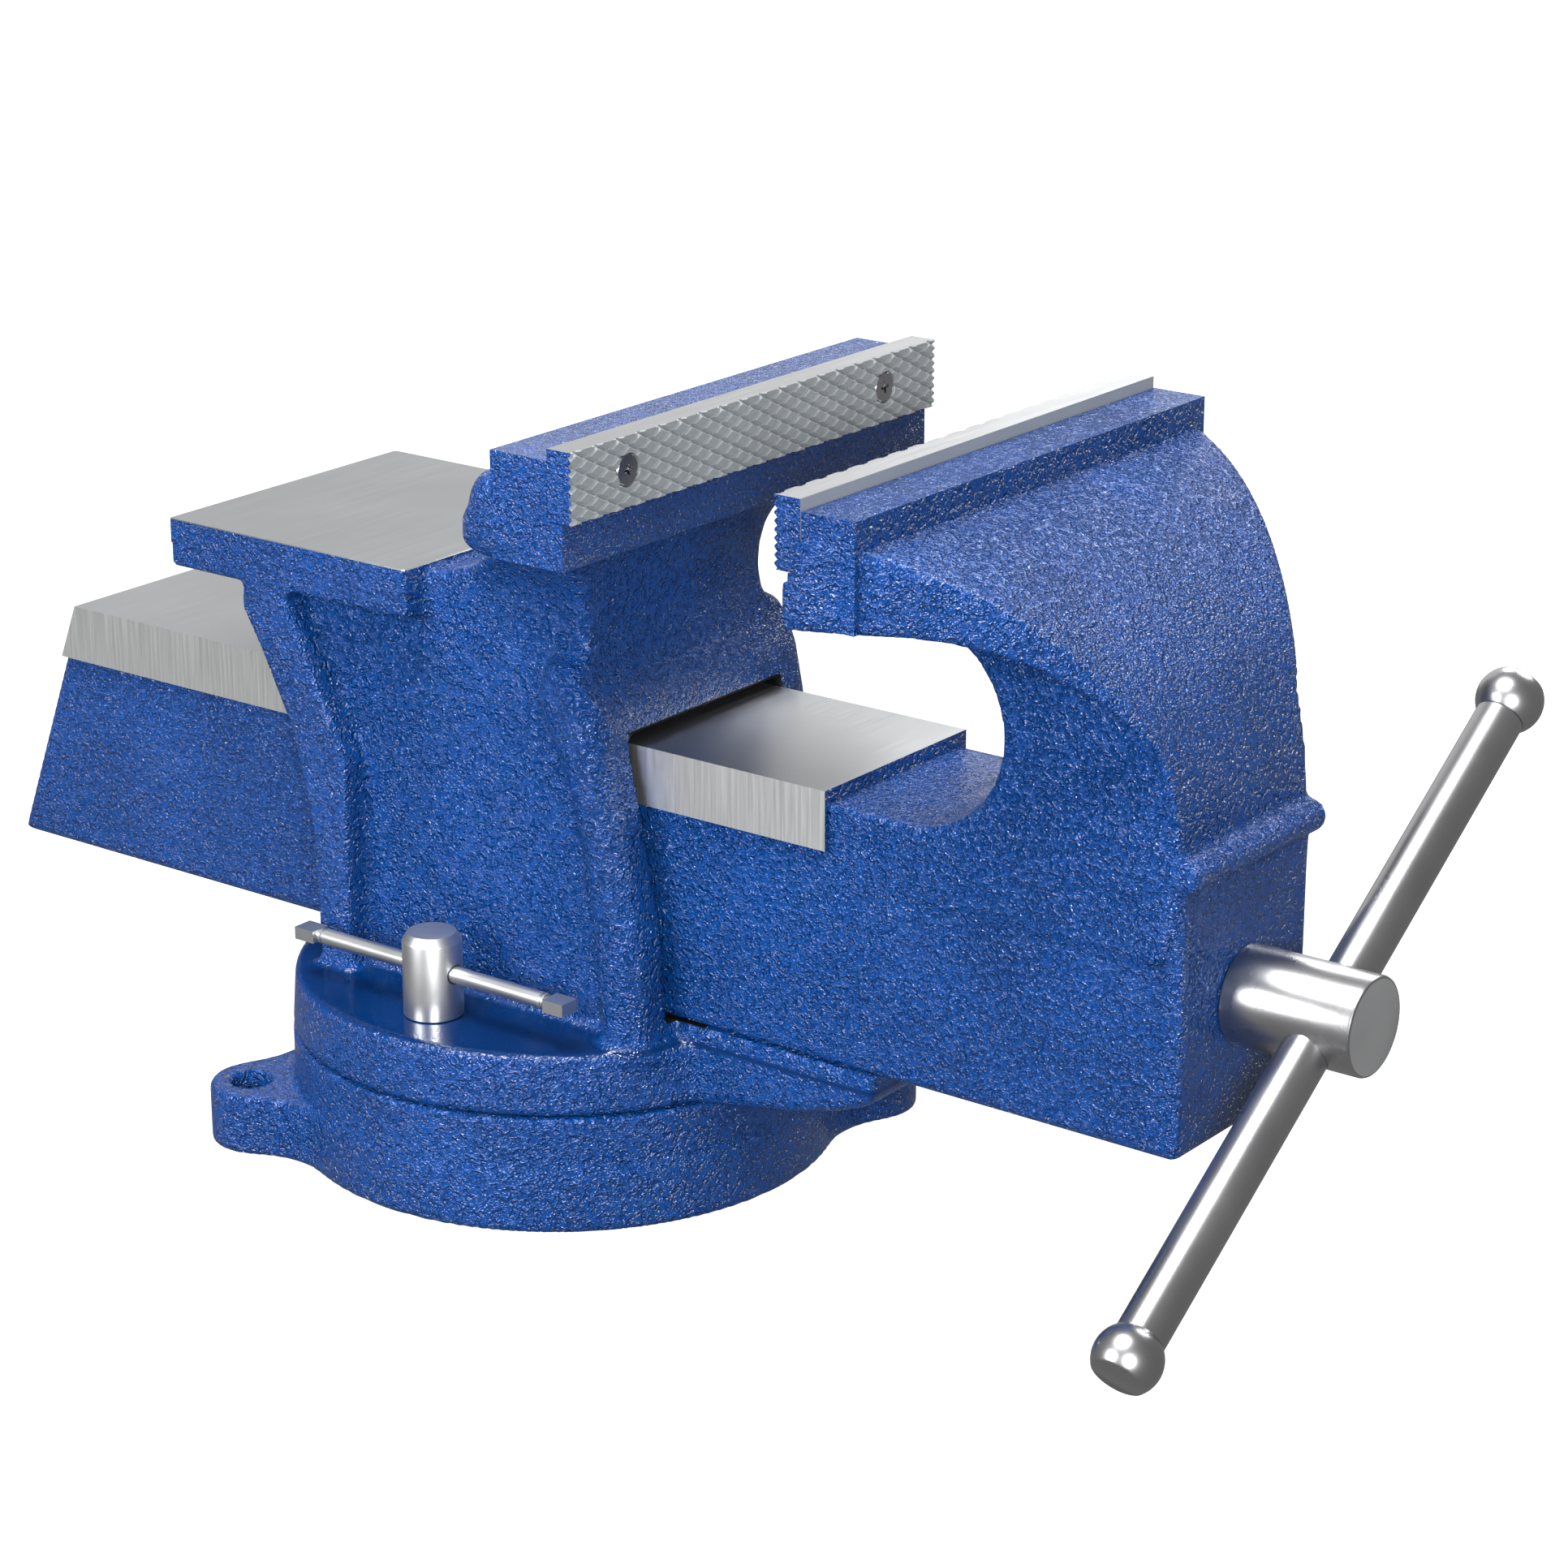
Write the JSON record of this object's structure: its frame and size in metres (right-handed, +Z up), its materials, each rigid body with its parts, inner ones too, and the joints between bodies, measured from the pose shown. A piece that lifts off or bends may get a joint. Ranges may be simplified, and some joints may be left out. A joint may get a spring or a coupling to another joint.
{
  "type": "bench vise",
  "caption": "Swivel-base bench vise with wide serrated jaws, a rear anvil, a square slide and a sliding handle bar; the body turns on the base and is locked by two T-bolts.",
  "frame": {"origin": "the swivel axis at the base's underside, where the vise stands on the bench", "axes": "+Z up along the swivel axis; +X along the slide from the fixed jaw towards the screw handle; +Y across the jaws"},
  "size_m": [0.5752, 0.2478, 0.288],
  "materials": {
    "base_paint": "glossy hammered blue paint on cast iron",
    "body_paint": "glossy hammered blue paint on cast iron, with bare machined faces",
    "plate_steel": "ground and serrated",
    "screw_steel": "satin",
    "bright_steel": "polished plating",
    "inner_iron": "as cast",
    "inner_steel": "plain, lightly oiled"
  },
  "bodies": {
    "base": {"swivel_base": "base_paint"},
    "fixed_jaw": {"fixed_jaw_body": "body_paint", "fixed_jaw_plate": "plate_steel", "fixed_jaw_screws": "screw_steel", "spindle_nut": "inner_iron", "spindle_nut_bolts": "inner_steel", "pivot_bolt": "inner_steel", "pivot_washer": "inner_steel", "lock_bolt_near": "inner_steel", "lock_bolt_far": "inner_steel"},
    "lock_near": {"lock_nut_near": "bright_steel"},
    "lock_far": {"lock_nut_far": "bright_steel"},
    "lock_near_bar": {"lock_bar_near": "bright_steel"},
    "lock_far_bar": {"lock_bar_far": "bright_steel"},
    "sliding_jaw": {"sliding_jaw_body": "body_paint", "sliding_jaw_plate": "plate_steel", "sliding_jaw_screws": "screw_steel", "spindle_spring": "inner_steel"},
    "screw": {"spindle": "bright_steel", "spindle_washer": "inner_steel", "spindle_pin": "inner_steel"},
    "handle": {"handle_bar": "bright_steel", "handle_ball_upper": "bright_steel", "handle_ball_lower": "bright_steel"}
  },
  "joints": [
    {"name": "swivel", "type": "hinge", "parent": "base", "child": "fixed_jaw", "pos_m": [0, 0, 0.043], "axis": [0, 0, 1], "continuous": true},
    {"name": "jaw_slide", "type": "slide", "parent": "fixed_jaw", "child": "sliding_jaw", "axis": [1, 0, 0], "range_m": [-0.0805, 0.119]},
    {"name": "screw_turn", "type": "hinge", "parent": "sliding_jaw", "child": "screw", "pos_m": [0, 0, 0.1193], "axis": [1, 0, 0], "continuous": true},
    {"name": "handle_slide", "type": "slide", "parent": "screw", "child": "handle", "axis": [0, 0.831, 0.5563], "range_m": [-0.111, 0.111]},
    {"name": "lock_turn_near", "type": "hinge", "parent": "fixed_jaw", "child": "lock_near", "pos_m": [0, -0.0715, 0.0825], "axis": [0, 0, 1], "range_deg": [-4.5, 4.5]},
    {"name": "lock_turn_far", "type": "hinge", "parent": "fixed_jaw", "child": "lock_far", "pos_m": [0, 0.0715, 0.0825], "axis": [0, 0, 1], "range_deg": [-4.5, 4.5]},
    {"name": "lock_bar_slide_near", "type": "slide", "parent": "lock_near", "child": "lock_near_bar", "axis": [1, 0, 0], "range_m": [-0.039, 0.039]},
    {"name": "lock_bar_slide_far", "type": "slide", "parent": "lock_far", "child": "lock_far_bar", "axis": [1, 0, 0], "range_m": [-0.039, 0.039]}
  ],
  "couplings": [
    {"joint": "screw_turn", "follows": "jaw_slide", "rad_per_m": -1047.2}
  ]
}
